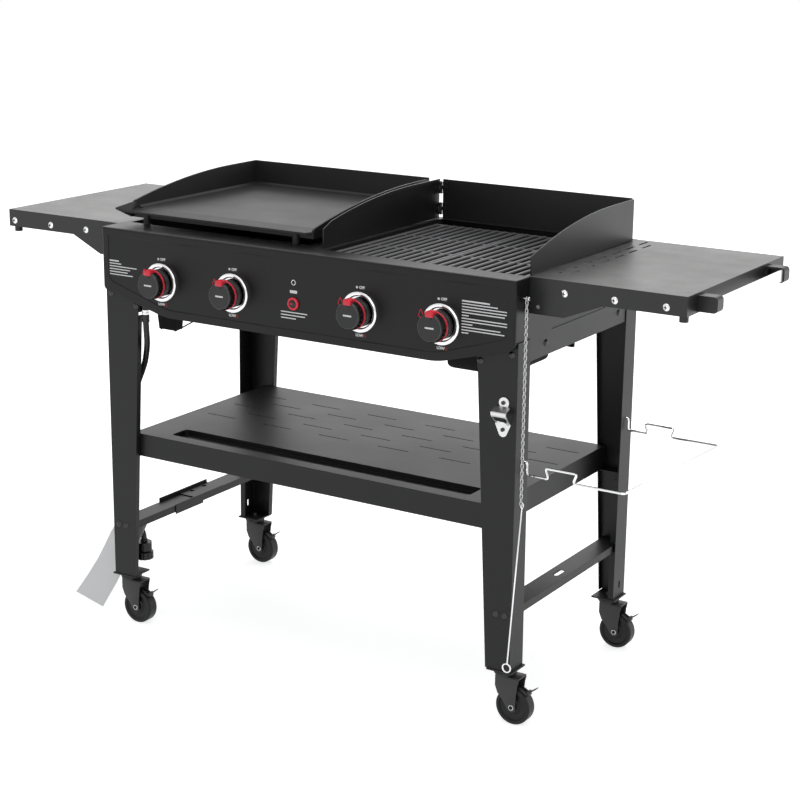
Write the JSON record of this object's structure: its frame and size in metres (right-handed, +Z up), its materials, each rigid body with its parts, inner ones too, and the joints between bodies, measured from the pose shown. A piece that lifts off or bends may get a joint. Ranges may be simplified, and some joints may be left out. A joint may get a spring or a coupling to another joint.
{
  "type": "griddle and grill cart",
  "caption": "Wheeled gas cart with a flat griddle beside open grates, a folding windshield, control knobs, side tables, a lower shelf and a hanging gas hose.",
  "frame": {"origin": "middle of the bounding box of everything but the hose and its regulator, on the floor under the wheels", "axes": "+X to the right along the cart's length, seen from the front; +Y from the control panel to the back; +Z up"},
  "size_m": [1.557, 0.538, 0.9153],
  "materials": {
    "panel_black": "satin black enamel",
    "box_black": "black enamel",
    "inner_steel": "plain steel",
    "bezel_chrome": "polished",
    "igniter_red": "gloss",
    "steel_bright": "brushed",
    "valve_brass": "cast",
    "burner_steel": "plain",
    "ceramic": "glazed",
    "leg_black": "satin black powder coat",
    "shelf_black": "satin black powder coat",
    "bolt_chrome": "polished",
    "table_grey": "satin dark grey powder coat",
    "rubber_black": "matte",
    "bar_steel": "brushed stainless",
    "plastic_black": "matte",
    "tray_steel": "dark enamel",
    "griddle_black": "black high-heat coating",
    "grate_iron": "enamelled",
    "shield_black": "satin black",
    "wire_chrome": "polished",
    "regulator_zinc": "die cast",
    "caster_black": "black",
    "wheel_tyre": "matte",
    "knob_black": "satin"
  },
  "bodies": {
    "cart_frame": {"control_panel": "panel_black", "firebox": "box_black", "burner_bulkhead": "inner_steel", "knob_bezels": "bezel_chrome", "igniter_housing": "igniter_red", "gas_manifold": "steel_bright", "valve_bodies": "valve_brass", "burners": "burner_steel", "heat_plates": "burner_steel", "spark_electrodes": "ceramic", "leg_front_left": "leg_black", "leg_front_right": "leg_black", "leg_rear_left": "leg_black", "leg_rear_right": "leg_black", "bottom_shelf": "shelf_black", "crossbars": "leg_black", "tank_bracket": "tray_steel", "frame_bolts": "bolt_chrome", "bottle_opener": "bar_steel", "table_left": "table_grey", "table_right": "table_grey", "table_feet": "rubber_black", "towel_bar": "bar_steel", "towel_bar_brackets": "plastic_black", "windshield_rear": "shield_black", "windshield_hinge_pins": "steel_bright", "gas_hose": "rubber_black", "regulator": "regulator_zinc", "regulator_nut": "plastic_black"},
    "griddle_body": {"griddle": "griddle_black"},
    "grate_left_body": {"grate_left": "grate_iron"},
    "grate_right_body": {"grate_right": "grate_iron"},
    "grease_tray_body": {"grease_tray": "tray_steel"},
    "grease_cup_body": {"grease_cup": "tray_steel"},
    "windshield_left_body": {"windshield_left": "shield_black"},
    "windshield_right_body": {"windshield_right": "shield_black"},
    "trash_bag_holder_body": {"trash_bag_holder": "wire_chrome"},
    "match_chain_body": {"match_chain": "wire_chrome"},
    "match_rod_body": {"match_rod": "wire_chrome"},
    "igniter_button_body": {"igniter_button": "plastic_black"},
    "caster_yoke_1_body": {"caster_yoke_1": "caster_black"},
    "caster_wheel_1_body": {"caster_wheel_1": "wheel_tyre"},
    "brake_lever_1_body": {"brake_lever_1": "caster_black"},
    "knob_1_body": {"knob_1": "knob_black"},
    "valve_stem_1_body": {"valve_stem_1": "steel_bright"},
    "caster_yoke_2_body": {"caster_yoke_2": "caster_black"},
    "caster_wheel_2_body": {"caster_wheel_2": "wheel_tyre"},
    "brake_lever_2_body": {"brake_lever_2": "caster_black"},
    "knob_2_body": {"knob_2": "knob_black"},
    "valve_stem_2_body": {"valve_stem_2": "steel_bright"},
    "caster_yoke_3_body": {"caster_yoke_3": "caster_black"},
    "caster_wheel_3_body": {"caster_wheel_3": "wheel_tyre"},
    "brake_lever_3_body": {"brake_lever_3": "caster_black"},
    "knob_3_body": {"knob_3": "knob_black"},
    "valve_stem_3_body": {"valve_stem_3": "steel_bright"},
    "caster_yoke_4_body": {"caster_yoke_4": "caster_black"},
    "caster_wheel_4_body": {"caster_wheel_4": "wheel_tyre"},
    "brake_lever_4_body": {"brake_lever_4": "caster_black"},
    "knob_4_body": {"knob_4": "knob_black"},
    "valve_stem_4_body": {"valve_stem_4": "steel_bright"}
  },
  "joints": [
    {"name": "griddle_lift", "type": "slide", "parent": "cart_frame", "child": "griddle_body", "axis": [0, 0, 1], "range_m": [0, 0.12]},
    {"name": "grate_left_lift", "type": "slide", "parent": "cart_frame", "child": "grate_left_body", "axis": [0, 0, 1], "range_m": [0, 0.1]},
    {"name": "grate_right_lift", "type": "slide", "parent": "cart_frame", "child": "grate_right_body", "axis": [0, 0, 1], "range_m": [0, 0.1]},
    {"name": "grease_tray_slide", "type": "slide", "parent": "cart_frame", "child": "grease_tray_body", "axis": [1, 0, 0], "range_m": [0, 0.15]},
    {"name": "grease_cup_slide", "type": "slide", "parent": "cart_frame", "child": "grease_cup_body", "axis": [-1, 0, 0], "range_m": [0, 0.06]},
    {"name": "bag_holder_unhook", "type": "slide", "parent": "cart_frame", "child": "trash_bag_holder_body", "axis": [1, 0, 0], "range_m": [0, 0.02]},
    {"name": "windshield_left_fold", "type": "hinge", "parent": "cart_frame", "child": "windshield_left_body", "pos_m": [0.0091, 0.2503, 0.875], "axis": [0, 0, 1], "range_deg": [0, 90]},
    {"name": "windshield_right_fold", "type": "hinge", "parent": "cart_frame", "child": "windshield_right_body", "pos_m": [0.4375, 0.2471, 0.875], "axis": [0, 0, -1], "range_deg": [0, 90]},
    {"name": "valve_turn_1", "type": "hinge", "parent": "cart_frame", "child": "valve_stem_1_body", "pos_m": [-0.3355, -0.2165, 0.7405], "axis": [0, -1, 0], "range_deg": [0, 180]},
    {"name": "knob_push_1", "type": "slide", "parent": "valve_stem_1_body", "child": "knob_1_body", "axis": [0, 1, 0], "range_m": [0, 0.003], "stiffness_N_per_m": 600, "springref_m": -0.002},
    {"name": "valve_turn_2", "type": "hinge", "parent": "cart_frame", "child": "valve_stem_2_body", "pos_m": [-0.163, -0.2165, 0.7405], "axis": [0, -1, 0], "range_deg": [0, 180]},
    {"name": "knob_push_2", "type": "slide", "parent": "valve_stem_2_body", "child": "knob_2_body", "axis": [0, 1, 0], "range_m": [0, 0.003], "stiffness_N_per_m": 600, "springref_m": -0.002},
    {"name": "valve_turn_3", "type": "hinge", "parent": "cart_frame", "child": "valve_stem_3_body", "pos_m": [0.126, -0.2165, 0.7405], "axis": [0, -1, 0], "range_deg": [0, 180]},
    {"name": "knob_push_3", "type": "slide", "parent": "valve_stem_3_body", "child": "knob_3_body", "axis": [0, 1, 0], "range_m": [0, 0.003], "stiffness_N_per_m": 600, "springref_m": -0.002},
    {"name": "valve_turn_4", "type": "hinge", "parent": "cart_frame", "child": "valve_stem_4_body", "pos_m": [0.2985, -0.2165, 0.7405], "axis": [0, -1, 0], "range_deg": [0, 180]},
    {"name": "knob_push_4", "type": "slide", "parent": "valve_stem_4_body", "child": "knob_4_body", "axis": [0, 1, 0], "range_m": [0, 0.003], "stiffness_N_per_m": 600, "springref_m": -0.002},
    {"name": "igniter_push", "type": "slide", "parent": "cart_frame", "child": "igniter_button_body", "axis": [0, 1, 0], "range_m": [0, 0.0035], "stiffness_N_per_m": 300, "springref_m": -0.002},
    {"name": "caster_swivel_1", "type": "hinge", "parent": "cart_frame", "child": "caster_yoke_1_body", "pos_m": [0.427, -0.1905, 0.1], "axis": [0, 0, 1], "continuous": true},
    {"name": "wheel_spin_1", "type": "hinge", "parent": "caster_yoke_1_body", "child": "caster_wheel_1_body", "pos_m": [0.449, -0.1905, 0.035], "axis": [0, 1, 0], "continuous": true},
    {"name": "brake_press_1", "type": "hinge", "parent": "caster_yoke_1_body", "child": "brake_lever_1_body", "pos_m": [0.475, -0.1905, 0.065], "axis": [0, 1, 0], "range_deg": [0, 20]},
    {"name": "caster_swivel_2", "type": "hinge", "parent": "cart_frame", "child": "caster_yoke_2_body", "pos_m": [-0.464, -0.1905, 0.1], "axis": [0, 0, 1], "continuous": true},
    {"name": "wheel_spin_2", "type": "hinge", "parent": "caster_yoke_2_body", "child": "caster_wheel_2_body", "pos_m": [-0.442, -0.1905, 0.035], "axis": [0, 1, 0], "continuous": true},
    {"name": "brake_press_2", "type": "hinge", "parent": "caster_yoke_2_body", "child": "brake_lever_2_body", "pos_m": [-0.416, -0.1905, 0.065], "axis": [0, 1, 0], "range_deg": [0, 20]},
    {"name": "caster_swivel_3", "type": "hinge", "parent": "cart_frame", "child": "caster_yoke_3_body", "pos_m": [0.427, 0.2405, 0.1], "axis": [0, 0, 1], "continuous": true},
    {"name": "wheel_spin_3", "type": "hinge", "parent": "caster_yoke_3_body", "child": "caster_wheel_3_body", "pos_m": [0.449, 0.2405, 0.035], "axis": [0, 1, 0], "continuous": true},
    {"name": "brake_press_3", "type": "hinge", "parent": "caster_yoke_3_body", "child": "brake_lever_3_body", "pos_m": [0.475, 0.2405, 0.065], "axis": [0, 1, 0], "range_deg": [0, 20]},
    {"name": "caster_swivel_4", "type": "hinge", "parent": "cart_frame", "child": "caster_yoke_4_body", "pos_m": [-0.464, 0.2405, 0.1], "axis": [0, 0, 1], "continuous": true},
    {"name": "wheel_spin_4", "type": "hinge", "parent": "caster_yoke_4_body", "child": "caster_wheel_4_body", "pos_m": [-0.442, 0.2405, 0.035], "axis": [0, 1, 0], "continuous": true},
    {"name": "brake_press_4", "type": "hinge", "parent": "caster_yoke_4_body", "child": "brake_lever_4_body", "pos_m": [-0.416, 0.2405, 0.065], "axis": [0, 1, 0], "range_deg": [0, 20]},
    {"name": "match_chain_swing", "type": "hinge", "parent": "cart_frame", "child": "match_chain_body", "pos_m": [0.4585, -0.2085, 0.8031], "axis": [1, 0, 0], "range_deg": [-40, 2]},
    {"name": "match_rod_swing", "type": "hinge", "parent": "match_chain_body", "child": "match_rod_body", "pos_m": [0.4585, -0.2085, 0.4246], "axis": [1, 0, 0], "range_deg": [-30, 5]}
  ]
}
